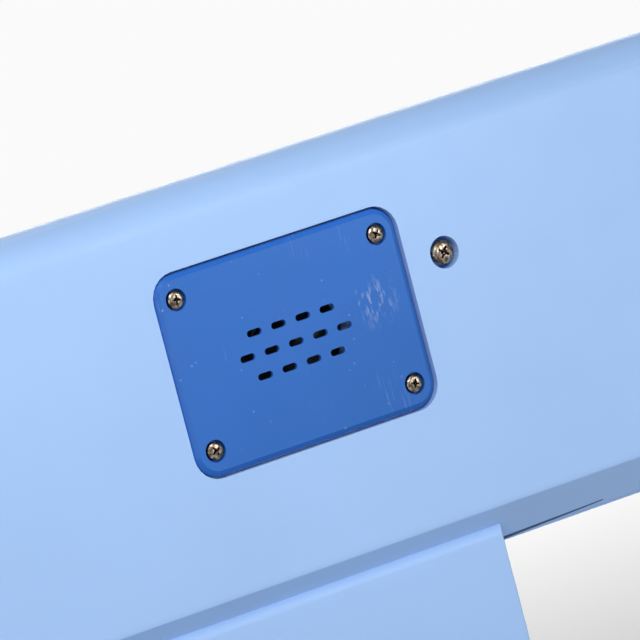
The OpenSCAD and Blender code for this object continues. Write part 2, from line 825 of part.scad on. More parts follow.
module key_1() { key(-1, 1.5, steel); }
module key_2() { key(0, 1.5, steel); }
module key_3() { key(1, 1.5, steel); }
module key_4() { key(-1, 0.5, steel); }
module key_5() { key(0, 0.5, steel); }
module key_6() { key(1, 0.5, steel); }
module key_7() { key(-1, -0.5, steel); }
module key_8() { key(0, -0.5, steel); }
module key_9() { key(1, -0.5, steel); }
module key_cancel() { key(-1, -1.5, [0.75, 0.15, 0.12]); }
module key_0() { key(0, -1.5, steel); }
module key_enter() { key(1, -1.5, [0.15, 0.55, 0.25]); }

module keypad_mat() {
    color(grey)
        on_face(keypad_x, keypad_v, mat_top - 1.9)
            difference() {
                pad(frame_w - 8, frame_h - 6, 1.9, 2);
                for (x = [-1, 1], v = [-1, 1])
                    translate([x * (frame_w / 2 - 5), v * (frame_h / 2 - 4.4), -1])
                        cylinder(r = post_r + 0.3, h = 4);
            }
}

module keypad_board() {
    color(green)
        on_face(keypad_x, keypad_v, mat_top - 3.7)
            pad(frame_w - 6, frame_h - 4.5, 1.55, 1);
}

// ---- readers ----
module reader_cover() {
    color(black)
        on_face(reader_x, reader_v, -recess + 0.05) {
            pad(reader_w, reader_h, 3, 6);
            translate([0, 0, 2.9])
                difference() {
                    pad(reader_w - 3, reader_h - 3, 0.9, 5);
                    translate([0, 0, -1])
                        pad(reader_w - 7, reader_h - 7, 4, 4);
                }
        }
}

module reader_antenna() {
    color(green)
        on_face(reader_x, reader_v, -behind - 1.6)
            pad(reader_w - 4, reader_h - 6, 1.6, 2);
}

module scanner_window() {
    color([0.25, 0.05, 0.08])
        on_face(keypad_x, scanner_v, -recess + 0.05)
            pad(scanner_w, scanner_h, recess, 3);
}

module scanner_module() {
    color(black)
        on_face(keypad_x, scanner_v - 1, -behind - 16)
            difference() {
                pad(scanner_w - 6, scanner_h - 3, 16, 1.5);
                translate([0, 0, 10])
                    cylinder(r = 4, h = 10);
            }
}

module card_bezel() {
    color(black)
        difference() {
            union() {
                intersection() {
                    block([reader_x - card_nose, reader_x + card_nose], [front_y - 3, front_y + 40],
                        [card_z - 12, card_z + 12]);
                    on_face(reader_x, 0, 0.05)
                        translate([-60, -100, 0])
                            cube([120, 300, 60]);
                }
                block([reader_x - card_tongue, reader_x + card_tongue], [front_y + 8, card_y - fit],
                    [card_z - 8, card_z + 8]);
            }
            block([reader_x - card_slot, reader_x + card_slot], [front_y - 20, card_y + 5],
                [card_z - card_slot_h / 2, card_z + card_slot_h / 2]);
            // finger notch
            translate([reader_x, front_y - 8, card_z - 20])
                cylinder(r = 11, h = 40);
        }
}

module card_reader() {
    color(grey)
        difference() {
            block([reader_x - card_tongue - 3, reader_x + card_tongue + 3], [card_y, chassis_y - fit],
                [card_z - 11, card_z + 11]);
            block([reader_x - card_slot, reader_x + card_slot], [card_y - 1, card_y + 54],
                [card_z - card_slot_h / 2, card_z + card_slot_h / 2]);
        }
}

module card_bracket() {
    color(steel)
        block([reader_x - card_slot, reader_x + card_slot], [card_y + 8, chassis_y],
            [card_z - 12.6, card_z - 11.1]);
}

// ---- help button ----
module help_bezel() {
    color(black)
        on_face(help_x, help_v, 0)
            difference() {
                union() {
                    translate([0, 0, 0.05])
                        cylinder(r = help_d / 2 + 3.6, h = 1.4);
                    translate([0, 0, help_low - 1.4])
                        cylinder(r = help_d / 2 + 1.8, h = 1.6 - help_low);
                }
                translate([0, 0, -4])
                    cylinder(r = help_d / 2 + 0.25, h = 20);
                translate([0, 0, help_low - 2.4])
                    cylinder(r = help_d / 2 + 1, h = help_travel + 4.1);
            }
}

module help_button() {
    color([0.9, 0.75, 0.1])
        on_face(help_x, help_v, 0)
            rotate_extrude()
                polygon([[0, -5.6], [help_d / 2 + 0.7, -5.6], [help_d / 2 + 0.7, -4.3], [help_d / 2, -4.3],
                    [help_d / 2, 3], [help_d / 2 - 0.6, 3.6], [help_d / 2 - 2, 3.8], [0, 4]]);
}

module help_switch() {
    color(grey)
        on_face(help_x, help_v, help_low - 13.4)
            pad(13, 13, 11.7, 1);
}

// ---- printer door ----
module printer_door() {
    color(light_blue)
        difference() {
            union() {
                on_face(door_x, (door_low + door_high) / 2, -3)
                    linear_extrude(3)
                        square([door_w, door_high - door_low], center = true);
                on_face(door_x - door_w / 2, door_low, -3)
                    rod_x(3, 0, door_w);
                // stiffening ribs
                for (s = [-1, 1])
                    on_face(door_x + s * (door_w / 2 - 1.5), (door_low + door_high) / 2 + 4, -7)
                        linear_extrude(5)
                            square([1.8, door_high - door_low - 14], center = true);
            }
            on_face(door_x - door_w / 2 - 1, door_low, -3)
                rod_x(1 + run, 0, door_w + 2);
            // receipt outlet
            on_face(door_x, receipt_v, -10)
                pad(outlet_w, outlet_h, 20, 1);
            // lock
            on_face(lock_x, lock_v, -10)
                cylinder(r = lock_d / 2 + 0.1, h = 20);
        }
}

module door_pin() {
    color(steel)
        on_face(door_x - door_w / 2 - 6, door_low, -3)
            rod_x(1, 0, door_w + 12);
}

module receipt_bezel() {
    color(black)
        on_face(door_x, receipt_v, 0.05)
            difference() {
                pad(outlet_w + 10, outlet_h + 14, 5, 4);
                translate([0, 0, -1])
                    pad(outlet_w, outlet_h, 10, 1);
                translate([0, 1, 2.2])
                    pad(64.6, 17.6, 10, 1);
                translate([-34, 7.2, 3.6])
                    rod_x(1, 0, 68);
            }
}

module receipt_flap() {
    color([0.3, 0.33, 0.36])
        on_face(door_x, receipt_v + 7.2, 3.65) {
            rod_x(1 - run, -33.5, 33.5);
            translate([-32, -14.6, -1])
                cube([64, 14.6, 1.6]);
            rod_x(1.3, -31, 31);
        }
}

module lock_body() {
    color(steel)
        on_face(lock_x, lock_v, 0)
            difference() {
                union() {
                    translate([0, 0, 0.05])
                        cylinder(r = lock_d / 2 + 1.5, h = 1.2);
                    translate([0, 0, -9])
                        cylinder(r = lock_d / 2, h = 9.1);
                }
                translate([0, 0, -10])
                    cylinder(r = lock_d / 2 - 2, h = 20);
            }
}

module lock_barrel() {
    color(grey)
        on_face(lock_x, lock_v, 0)
            difference() {
                union() {
                    translate([0, 0, -9.2])
                        cylinder(r = lock_d / 2 - 2 - run, h = 10);
                    // cam
                    translate([-18.5, -3.5, -11])
                        cube([22, 7, 1.8]);
                }
                translate([-0.7, -2.5, -3])
                    cube([1.4, 5, 10]);
            }
}

// ---- printer ----
module printer_frame() {
    color(grey)
        difference() {
            union() {
                for (s = [-1, 1])
                    block([door_x + s * print_half - 1, door_x + s * print_half + 1],
                        [platen_y - 7.5, chassis_y - 0.05], [platen_z - 19, platen_z + 11]);
                block([door_x - print_half, door_x + print_half], [chassis_y - 2, chassis_y - 0.05],
                    [platen_z - 19, platen_z + 11]);
                block([door_x - print_half, door_x + print_half], [platen_y + 2, chassis_y - 0.05],
                    [platen_z + 9.5, platen_z + 11]);
            }
            translate([0, platen_y, platen_z])
                rod_x(2 + run, door_x - print_half - 5, door_x + print_half + 5);
            translate([0, pinion_y, pinion_z])
                rod_x(1.5, door_x - print_half - 5, door_x - print_half + 5);
        }
}

module platen_roller() {
    color(black)
        translate([0, platen_y, platen_z]) {
            rod_x(2, door_x - print_half - 6.4, door_x + print_half + 2.5);
            rod_x(platen_r, door_x - 29, door_x + 29);
            translate([door_x - print_half - 6, 0, 0])
                rotate([0, 90, 0])
                    gear(gear_teeth, gear_m, 4);
        }
}

module print_head() {
    color(steel)
        block([door_x - 30, door_x + 30], [platen_y + platen_r + 0.3, platen_y + platen_r + 3.8],
            [platen_z - 4, platen_z + 9.3]);
}

module feed_motor() {
    color(steel)
        translate([0, pinion_y, pinion_z])
            rod_x(7, door_x - print_half + 1.05, door_x - print_half + 15);
}

module motor_pinion() {
    color([0.8, 0.7, 0.4])
        translate([door_x - print_half - 6, pinion_y, pinion_z]) {
            rotate([0, 90, 0])
                rotate([0, 0, pinion_phase])
                    gear(pinion_teeth, gear_m, 4);
            rod_x(1.2, 0, 7);
        }
}

module paper_roll() {
    color([0.96, 0.96, 0.93])
        translate([0, roll_y, roll_z])
            difference() {
                rod_x(roll_r, door_x - roll_w / 2, door_x + roll_w / 2);
                rod_x(3 + run, door_x - roll_w / 2 - 1, door_x + roll_w / 2 + 1);
            }
}

module electronics() {
    board_y = chassis_y + 6.1;
    color(green) {
        block([board_x, board_x + 76], [board_y, board_y + 1.6], [chassis_low + 2, chassis_low + 56]);
        block([board_x + 8, board_x + 34], [board_y + 1.5, board_y + 9], [chassis_low + 12, chassis_low + 38]);
        block([board_x + 42, board_x + 70], [board_y + 1.5, board_y + 11], [chassis_low + 6, chassis_low + 18]);
        for (i = [0 : 3])
            on_back(board_x + 46 + i * 7, chassis_low + 44, board_y + 1.5)
                cylinder(r = 2.8, h = 8);
    }
    color(steel)
        block([-150, -76], [chassis_y + chassis_t + 0.1, chassis_y + 17], [chassis_low + 4, chassis_low + 46]);
}

base_plate();
cable_grommet();
mast();
mast_bolts();
chassis();
chassis_screws();
rear_housing();
front_housing();
housing_gasket();
case_screws();
speaker_cover();
cover_screws();
speaker_gasket();
speaker_basket();
speaker_magnet();
speaker_cone();
display_window();
display_panel();
display_bracket();
display_screws();
status_lens();
status_board();
keypad_frame();
key_1();
key_2();
key_3();
key_4();
key_5();
key_6();
key_7();
key_8();
key_9();
key_cancel();
key_0();
key_enter();
keypad_mat();
keypad_board();
reader_cover();
reader_antenna();
scanner_window();
scanner_module();
card_bezel();
card_reader();
card_bracket();
help_bezel();
help_button();
help_switch();
printer_door();
door_pin();
receipt_bezel();
receipt_flap();
lock_body();
lock_barrel();
printer_frame();
platen_roller();
print_head();
feed_motor();
motor_pinion();
paper_roll();
electronics();
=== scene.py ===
import bpy
import json
import math
from mathutils import Matrix, Vector

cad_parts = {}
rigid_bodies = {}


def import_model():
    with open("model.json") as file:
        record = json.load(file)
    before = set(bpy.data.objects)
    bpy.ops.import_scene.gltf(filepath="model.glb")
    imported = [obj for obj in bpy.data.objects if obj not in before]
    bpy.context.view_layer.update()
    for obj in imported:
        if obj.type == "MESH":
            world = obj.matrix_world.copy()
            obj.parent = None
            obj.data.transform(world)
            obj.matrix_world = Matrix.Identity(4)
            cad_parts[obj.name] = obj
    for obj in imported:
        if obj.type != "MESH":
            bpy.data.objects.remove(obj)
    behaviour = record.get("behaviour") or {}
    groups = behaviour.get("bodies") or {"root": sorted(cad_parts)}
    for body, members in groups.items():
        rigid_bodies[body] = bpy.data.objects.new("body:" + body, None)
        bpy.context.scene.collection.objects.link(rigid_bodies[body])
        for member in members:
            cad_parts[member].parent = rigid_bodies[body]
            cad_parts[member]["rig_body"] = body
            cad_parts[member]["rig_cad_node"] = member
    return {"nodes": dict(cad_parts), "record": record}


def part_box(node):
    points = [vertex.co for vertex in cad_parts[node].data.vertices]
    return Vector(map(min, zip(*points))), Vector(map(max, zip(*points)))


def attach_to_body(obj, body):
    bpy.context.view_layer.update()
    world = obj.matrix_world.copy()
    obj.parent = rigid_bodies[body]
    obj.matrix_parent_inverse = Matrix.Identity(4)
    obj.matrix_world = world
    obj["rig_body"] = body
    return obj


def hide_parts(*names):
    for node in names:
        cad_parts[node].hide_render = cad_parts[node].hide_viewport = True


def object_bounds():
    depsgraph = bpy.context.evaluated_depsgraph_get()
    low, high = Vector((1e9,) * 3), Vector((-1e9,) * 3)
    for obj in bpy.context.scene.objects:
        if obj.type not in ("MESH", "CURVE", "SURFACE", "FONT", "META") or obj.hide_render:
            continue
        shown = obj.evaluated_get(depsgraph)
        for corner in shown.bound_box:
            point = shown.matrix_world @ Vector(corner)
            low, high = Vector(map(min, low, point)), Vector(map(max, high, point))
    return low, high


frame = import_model()
cadLow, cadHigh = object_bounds()
mm = 0.001
nodes = frame["nodes"]
slotOf = {row["node"]: row["material_slot"] for row in frame["record"]["subparts"]}
weld = 0.000004  # points nearer than this are one
print("frame loaded:", len(nodes), "nodes")


def deselectAll():
    if bpy.context.object and bpy.context.object.mode != "OBJECT":
        bpy.ops.object.mode_set(mode="OBJECT")
    bpy.ops.object.select_all(action="DESELECT")


def pick(piece):
    deselectAll()
    piece.select_set(True)
    bpy.context.view_layer.objects.active = piece


def settle(piece):  # its place goes into its mesh
    pick(piece)
    bpy.ops.object.transform_apply(location=True, rotation=True, scale=True)


def applyAll(piece):
    pick(piece)
    for modifier in list(piece.modifiers):
        bpy.ops.object.modifier_apply(modifier=modifier.name)


def smooth(piece, angle=35):
    pick(piece)
    bpy.ops.object.shade_smooth_by_angle(angle=math.radians(angle))


def softEdges(piece, width, segments=2, angle=38):
    if width > 0:
        bevel = piece.modifiers.new("softEdges", "BEVEL")
        bevel.width = width * mm
        bevel.segments = segments
        bevel.limit_method = "ANGLE"
        bevel.angle_limit = math.radians(angle)
        bevel.use_clamp_overlap = True
        applyAll(piece)
    smooth(piece)
    weights = piece.modifiers.new("evenFaces", "WEIGHTED_NORMAL")
    weights.keep_sharp = True
    applyAll(piece)


def cleanCopy(node, name):  # a merged copy of a CAD node, with its flat faces whole
    pick(nodes[node])
    bpy.ops.object.duplicate()
    piece = bpy.context.object
    piece.parent = None
    piece.matrix_world = Matrix.Identity(4)
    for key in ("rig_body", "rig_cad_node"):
        if key in piece:
            del piece[key]
    piece.name = name
    piece.data.name = name
    bpy.ops.object.mode_set(mode="EDIT")
    bpy.ops.mesh.customdata_custom_splitnormals_clear()
    bpy.ops.mesh.select_all(action="SELECT")
    bpy.ops.mesh.remove_doubles(threshold=weld)
    bpy.ops.mesh.dissolve_limited(angle_limit=math.radians(0.6))
    bpy.ops.object.mode_set(mode="OBJECT")
    return piece


def fit(piece, node, finish):  # the piece stands for a CAD node, on its body and with its finish
    piece.data.materials.clear()
    piece.data.materials.append(finish)
    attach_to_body(piece, nodes[node]["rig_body"])
    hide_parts(node)
    return piece


# finishes

def newFinish(name, colour, roughness, metallic=0.0):
    finish = bpy.data.materials.new(name)
    finish.use_nodes = True
    shader = finish.node_tree.nodes["Principled BSDF"]
    shader.inputs["Base Color"].default_value = (*colour, 1)
    shader.inputs["Roughness"].default_value = roughness
    shader.inputs["Metallic"].default_value = metallic
    return finish, finish.node_tree.nodes, finish.node_tree.links, shader


def coordinates(tree, links, scale=(1, 1, 1)):
    place = tree.new("ShaderNodeTexCoord")
    mapping = tree.new("ShaderNodeMapping")
    mapping.inputs["Scale"].default_value = scale
    links.new(place.outputs["Object"], mapping.inputs["Vector"])
    return mapping.outputs["Vector"]


def noise(tree, links, vector, scale, detail=3):
    pattern = tree.new("ShaderNodeTexNoise")
    pattern.inputs["Scale"].default_value = scale
    pattern.inputs["Detail"].default_value = detail
    links.new(vector, pattern.inputs["Vector"])
    return pattern.outputs["Fac"]


def spread(tree, links, value, low, high, fromLow=0.0, fromHigh=1.0):
    ranged = tree.new("ShaderNodeMapRange")
    ranged.inputs["From Min"].default_value = fromLow
    ranged.inputs["From Max"].default_value = fromHigh
    ranged.inputs["To Min"].default_value = low
    ranged.inputs["To Max"].default_value = high
    links.new(value, ranged.inputs["Value"])
    return ranged.outputs["Result"]


def tint(tree, links, factor, first, second):
    mix = tree.new("ShaderNodeMix")
    mix.data_type = "RGBA"
    links.new(factor, mix.inputs["Factor"])
    for socket, colour in ((mix.inputs["A"], first), (mix.inputs["B"], second)):
        if isinstance(colour, tuple):
            socket.default_value = (*colour, 1)
        else:
            links.new(colour, socket)
    return mix.outputs["Result"]


def relief(tree, links, shader, height, strength, distance):
    bump = tree.new("ShaderNodeBump")
    bump.inputs["Strength"].default_value = strength
    bump.inputs["Distance"].default_value = distance
    links.new(height, bump.inputs["Height"])
    links.new(bump.outputs["Normal"], shader.inputs["Normal"])


def mouldedPlastic(name, colour, roughness=0.4, grain=1800, depth=0.12, shift=0.06, specular=0.5):
    finish, tree, links, shader = newFinish(name, colour, roughness)
    shader.inputs["Specular IOR Level"].default_value = specular
    place = coordinates(tree, links)
    cloud = noise(tree, links, place, 14, 4)
    darker = tuple(c * (1 - shift) for c in colour)
    lighter = tuple(min(1, c * (1 + shift * 0.6)) for c in colour)
    shade = spread(tree, links, cloud, 0, 1, 0.3, 0.7)
    links.new(tint(tree, links, shade, darker, lighter), shader.inputs["Base Color"])
    patches = noise(tree, links, place, 60, 3)
    dull = spread(tree, links, patches, roughness - 0.05, roughness + 0.06, 0.3, 0.7)
    links.new(dull, shader.inputs["Roughness"])
    relief(tree, links, shader, noise(tree, links, place, grain, 2), depth, 0.00002)
    return finish


def platedMetal(name, colour, roughness=0.3, stain=(0.16, 0.11, 0.07)):
    finish, tree, links, shader = newFinish(name, colour, roughness, 1.0)
    place = coordinates(tree, links)
    blotch = noise(tree, links, place, 800, 5)
    metal = tint(tree, links, spread(tree, links, blotch, 0, 1, 0.38, 0.56), colour, stain)
    # painted shade: the screw colour darkens to near black where ambient occlusion finds surfaces within about a
    # millimetre, in the cross recess and round the head
    occlusion = tree.new("ShaderNodeAmbientOcclusion")
    occlusion.inputs["Distance"].default_value = 0.0011
    recessShade = spread(tree, links, occlusion.outputs["AO"], 1, 0, 0.45, 0.85)
    links.new(tint(tree, links, recessShade, metal, (0.02, 0.016, 0.012)), shader.inputs["Base Color"])
    dull = spread(tree, links, blotch, roughness - 0.08, roughness + 0.15, 0.3, 0.7)
    links.new(dull, shader.inputs["Roughness"])
    relief(tree, links, shader, noise(tree, links, place, 1400, 4), 0.5, 0.0001)
    return finish


def brushedSheet(name, colour, roughness=0.35, along=(1, 40, 40)):
    finish, tree, links, shader = newFinish(name, colour, roughness, 1.0)
    place = coordinates(tree, links, along)
    lines = noise(tree, links, place, 90, 4)
    dull = spread(tree, links, lines, roughness - 0.1, roughness + 0.14, 0.3, 0.7)
    links.new(dull, shader.inputs["Roughness"])
    darker = tuple(c * 0.86 for c in colour)
    links.new(tint(tree, links, lines, darker, colour), shader.inputs["Base Color"])
    relief(tree, links, shader, lines, 0.12, 0.00003)
    return finish


def powderCoat(name, colour, roughness=0.5):
    finish, tree, links, shader = newFinish(name, colour, roughness)
    place = coordinates(tree, links)
    bumps = noise(tree, links, place, 1100, 2)
    darker = tuple(c * 0.85 for c in colour)
    lighter = tuple(c * 1.15 for c in colour)
    links.new(tint(tree, links, bumps, darker, lighter), shader.inputs["Base Color"])
    relief(tree, links, shader, bumps, 0.5, 0.00008)
    return finish


def glossy(name, colour, roughness=0.08, alpha=1.0):
    finish, tree, links, shader = newFinish(name, colour, roughness)
    shader.inputs["Alpha"].default_value = alpha
    place = coordinates(tree, links)
    wipe = noise(tree, links, place, 45, 4)
    dull = spread(tree, links, wipe, roughness, roughness + 0.07, 0.45, 0.75)
    links.new(dull, shader.inputs["Roughness"])
    return finish


wearAndShade = {
    # pale smears are painted only near this first spot
    "scuff": {"centre": (-0.0595, 0.0448, 0.197), "reach": 0.009},
    # painted shade: the colour darkens towards this spot below the speaker cover, by the given factor
    "dull": {"centre": (-0.062, 0.0448, 0.12), "reach": 0.085, "darker": 0.8},
    "scratch": {"lean": 14, "scale": (1900, 400, 130)},
    "smear": {"lean": -25, "scale": (900, 500, 330)},
    "specks": 260,
    "mark": (0.36, 0.48, 0.72),
}


def nearness(tree, links, place, spot):  # 1 at the centre, falling to 0 at the reach
    away = tree.new("ShaderNodeVectorMath")
    away.operation = "DISTANCE"
    links.new(place, away.inputs[0])
    away.inputs[1].default_value = spot["centre"]
    return spread(tree, links, away.outputs["Value"], 1, 0, 0, spot["reach"])


def combine(tree, links, operation, first, second):
    maths = tree.new("ShaderNodeMath")
    maths.operation = operation
    links.new(first, maths.inputs[0])
    links.new(second, maths.inputs[1])
    return maths.outputs["Value"]


def streaks(tree, links, place, setting, detail):  # noise drawn out along one direction
    drawnOut = tree.new("ShaderNodeMapping")
    drawnOut.inputs["Rotation"].default_value = (0, math.radians(setting["lean"]), 0)
    drawnOut.inputs["Scale"].default_value = setting["scale"]
    links.new(place, drawnOut.inputs["Vector"])
    return noise(tree, links, drawnOut.outputs["Vector"], 1, detail)


def wornPlasticWithShade(name, colour, roughness, specular, setting):  # with specks, scratches, pale smears near one spot, and painted shade that darkens the colour towards another spot
    finish = mouldedPlastic(name, colour, roughness, 1500, 0.12, 0.08, specular)
    tree, links = finish.node_tree.nodes, finish.node_tree.links
    shader = tree["Principled BSDF"]
    base = shader.inputs["Base Color"].links[0].from_socket
    place = coordinates(tree, links)
    cells = tree.new("ShaderNodeTexVoronoi")
    cells.inputs["Scale"].default_value = setting["specks"]
    links.new(place, cells.inputs["Vector"])
    dust = spread(tree, links, cells.outputs["Distance"], 0.5, 0, 0.05, 0.13)
    rare = spread(tree, links, noise(tree, links, place, 120, 2), 0, 1, 0.5, 0.68)
    hairs = spread(tree, links, streaks(tree, links, place, setting["scratch"], 1), 0, 0.34, 0.6, 0.74)
    worn = spread(tree, links, noise(tree, links, place, 36, 2), 0, 1, 0.5, 0.64)
    smears = spread(tree, links, streaks(tree, links, place, setting["smear"], 6), 0, 1, 0.5, 0.72)
    # pale smears show only within the reach of one spot
    nearPaleSpot = nearness(tree, links, place, setting["scuff"])
    marks = [combine(tree, links, "MULTIPLY", first, second)
             for first, second in ((dust, rare), (hairs, worn), (smears, nearPaleSpot))]
    strongest = combine(tree, links, "MAXIMUM", combine(tree, links, "MAXIMUM", marks[0], marks[1]), marks[2])
    # painted shade: the base colour darkens towards one spot below the speaker cover
    shadedColour = tuple(value * setting["dull"]["darker"] for value in colour)
    base = tint(tree, links, nearness(tree, links, place, setting["dull"]), base, shadedColour)
    links.new(tint(tree, links, strongest, base, setting["mark"]), shader.inputs["Base Color"])
    return finish


finishes = {
    "light_blue_plastic": mouldedPlastic("paleBlueMoulding", (0.385, 0.60, 0.975), 0.42,
                                         1500, 0.10, 0.03, 0.4),
    "dark_blue_plastic": wornPlasticWithShade("deepBlueMoulding", (0.029, 0.160, 0.575), 0.33, 0.2, wearAndShade),
    "screw_steel": platedMetal("nickelScrew", (0.66, 0.60, 0.52), 0.3),
    "sheet_steel": brushedSheet("zincSheet", (0.62, 0.63, 0.65), 0.34),
    "painted_steel": powderCoat("graphitePowderCoat", (0.075, 0.08, 0.088)),
    "black_plastic": mouldedPlastic("blackMoulding", (0.022, 0.022, 0.025), 0.45, 1600, 0.2, 0.25),
    "black_rubber": mouldedPlastic("blackRubber", (0.018, 0.018, 0.019), 0.72, 900, 0.3, 0.3, 0.3),
    "clear_window": glossy("smokedWindow", (0.012, 0.013, 0.016), 0.05),
    "screen": glossy("screenGlass", (0.02, 0.03, 0.05), 0.15),
    "light_lens": glossy("frostedLens", (0.70, 0.78, 0.80), 0.35),
    "key_metal": brushedSheet("satinKey", (0.56, 0.57, 0.59), 0.32, (40, 1, 1)),
    "key_red": mouldedPlastic("redKey", (0.55, 0.025, 0.02), 0.3, 1500, 0.1, 0.08),
    "key_green": mouldedPlastic("greenKey", (0.02, 0.33, 0.08), 0.3, 1500, 0.1, 0.08),
    "key_yellow": mouldedPlastic("amberButton", (0.85, 0.42, 0.02), 0.28, 1500, 0.08, 0.08),
    "silicone": mouldedPlastic("greySilicone", (0.16, 0.165, 0.18), 0.65, 900, 0.2, 0.1, 0.3),
    "circuit_board": mouldedPlastic("solderMask", (0.01, 0.12, 0.05), 0.3, 500, 0.4, 0.3),
    "magnet_steel": powderCoat("magnetOxide", (0.05, 0.05, 0.055), 0.4),
    # painted shade: the speaker cone is coloured near black to stand for the shade behind the cover's slots
    "cone_film": mouldedPlastic("coneFilm", (0.022, 0.024, 0.03), 0.3, 260, 0.3, 0.3),
    "flap_smoke": glossy("smokedFlap", (0.045, 0.05, 0.06), 0.1, 0.82),
    "brass": brushedSheet("machinedBrass", (0.66, 0.46, 0.16), 0.3),
    "gear_plastic": mouldedPlastic("rollerRubber", (0.03, 0.03, 0.032), 0.6, 800, 0.3, 0.2, 0.3),
    "paper": mouldedPlastic("thermalPaper", (0.84, 0.84, 0.81), 0.75, 700, 0.3, 0.02, 0.2),
}
for node, piece in nodes.items():
    piece.data.materials.clear()
    piece.data.materials.append(finishes[slotOf[node]])
print("finishes ready:", len(finishes))

# outer pieces with softened edges
softWidths = {
    "rear_housing": 0.35, "front_housing": 0.35, "speaker_cover": 0.25, "printer_door": 0.3,
    "base_plate": 0.8, "keypad_frame": 0.3, "reader_cover": 0.4, "card_bezel": 0.6,
    "receipt_bezel": 0.35, "receipt_flap": 0.2, "help_bezel": 0.3, "help_button": 0.3,
    "status_lens": 0.3, "display_window": 0.3, "scanner_window": 0.3, "lock_body": 0.25,
    "lock_barrel": 0.12,
}
for node in nodes:
    if node.startswith("key_"):
        softWidths[node] = 0.4
for node, width in softWidths.items():
    words = node.split("_")
    piece = cleanCopy(node, words[0] + "".join(word.capitalize() for word in words[1:]) + "Skin")
    softEdges(piece, width)
    fit(piece, node, finishes[slotOf[node]])
print("outer pieces ready:", len(softWidths))

# modelling helpers
faceTilt = math.radians(22)


def primitive(kind, name, size, place=(0, 0, 0), sides=32):
    deselectAll()
    if kind == "box":
        bpy.ops.mesh.primitive_cube_add(size=1, location=place)
        piece = bpy.context.object
        piece.scale = size
    else:
        bpy.ops.mesh.primitive_cylinder_add(vertices=sides, radius=size[0], depth=size[2], location=place)
        piece = bpy.context.object
    piece.name = name
    settle(piece)
    return piece


def lathe(name, profile, sides=40):  # rings drawn out one after another, closed at the last point
    deselectAll()
    radius, height = profile[0]
    bpy.ops.mesh.primitive_circle_add(vertices=sides, radius=radius, fill_type="NOTHING", location=(0, 0, height))
    piece = bpy.context.object
    piece.name = name
    settle(piece)
    bpy.ops.object.mode_set(mode="EDIT")
    bpy.ops.mesh.select_all(action="SELECT")
    for (radiusA, heightA), (radiusB, heightB) in zip(profile, profile[1:]):
        bpy.ops.mesh.extrude_region_move(TRANSFORM_OT_translate={"value": (0, 0, heightB - heightA)})
        bpy.ops.transform.resize(value=(radiusB / radiusA,) * 2 + (1,), center_override=(0, 0, heightB))
    bpy.ops.mesh.merge(type="CENTER")
    bpy.ops.mesh.select_all(action="SELECT")
    bpy.ops.mesh.normals_make_consistent(inside=False)
    bpy.ops.object.mode_set(mode="OBJECT")
    return piece


def carve(piece, tool, operation="DIFFERENCE"):
    cut = piece.modifiers.new("carve", "BOOLEAN")
    cut.operation = operation
    cut.object = tool
    cut.solver = "EXACT"
    applyAll(piece)
    bpy.data.objects.remove(tool)


def copyTo(master, name, move):
    pick(master)
    bpy.ops.object.duplicate()
    piece = bpy.context.object
    piece.name = name
    piece.matrix_world = move
    settle(piece)
    return piece


def joined(pieces, name):
    deselectAll()
    for piece in pieces:
        piece.select_set(True)
    bpy.context.view_layer.objects.active = pieces[0]
    if len(pieces) > 1:
        bpy.ops.object.join()
    piece = bpy.context.object
    piece.name = name
    piece.data.name = name
    return piece


def islands(node):  # boxes of the separate solids of a CAD node
    pick(nodes[node])
    bpy.ops.object.duplicate()
    spare = bpy.context.object
    spare.parent = None
    spare.matrix_world = Matrix.Identity(4)
    bpy.ops.object.mode_set(mode="EDIT")
    bpy.ops.mesh.select_all(action="SELECT")
    bpy.ops.mesh.remove_doubles(threshold=weld)
    bpy.ops.mesh.separate(type="LOOSE")
    bpy.ops.object.mode_set(mode="OBJECT")
    boxes = []
    for part in list(bpy.context.selected_objects):
        points = [vertex.co for vertex in part.data.vertices]
        low = Vector([min(point[i] for point in points) for i in range(3)])
        high = Vector([max(point[i] for point in points) for i in range(3)])
        boxes.append((low, high))
        bpy.data.objects.remove(part)
    return boxes


def attach(piece, node, finish):  # an added piece on the same body as a CAD node
    piece.data.materials.clear()
    piece.data.materials.append(finish)
    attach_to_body(piece, nodes[node]["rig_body"])
    return piece


# screws: pan heads with a worn cross recess
screwShape = {"steps": 9, "sides": 48, "side": 0.5, "round": 0.6,
              "arm": 0.72, "width": 0.26, "taper": 0.6, "sink": 0.62}


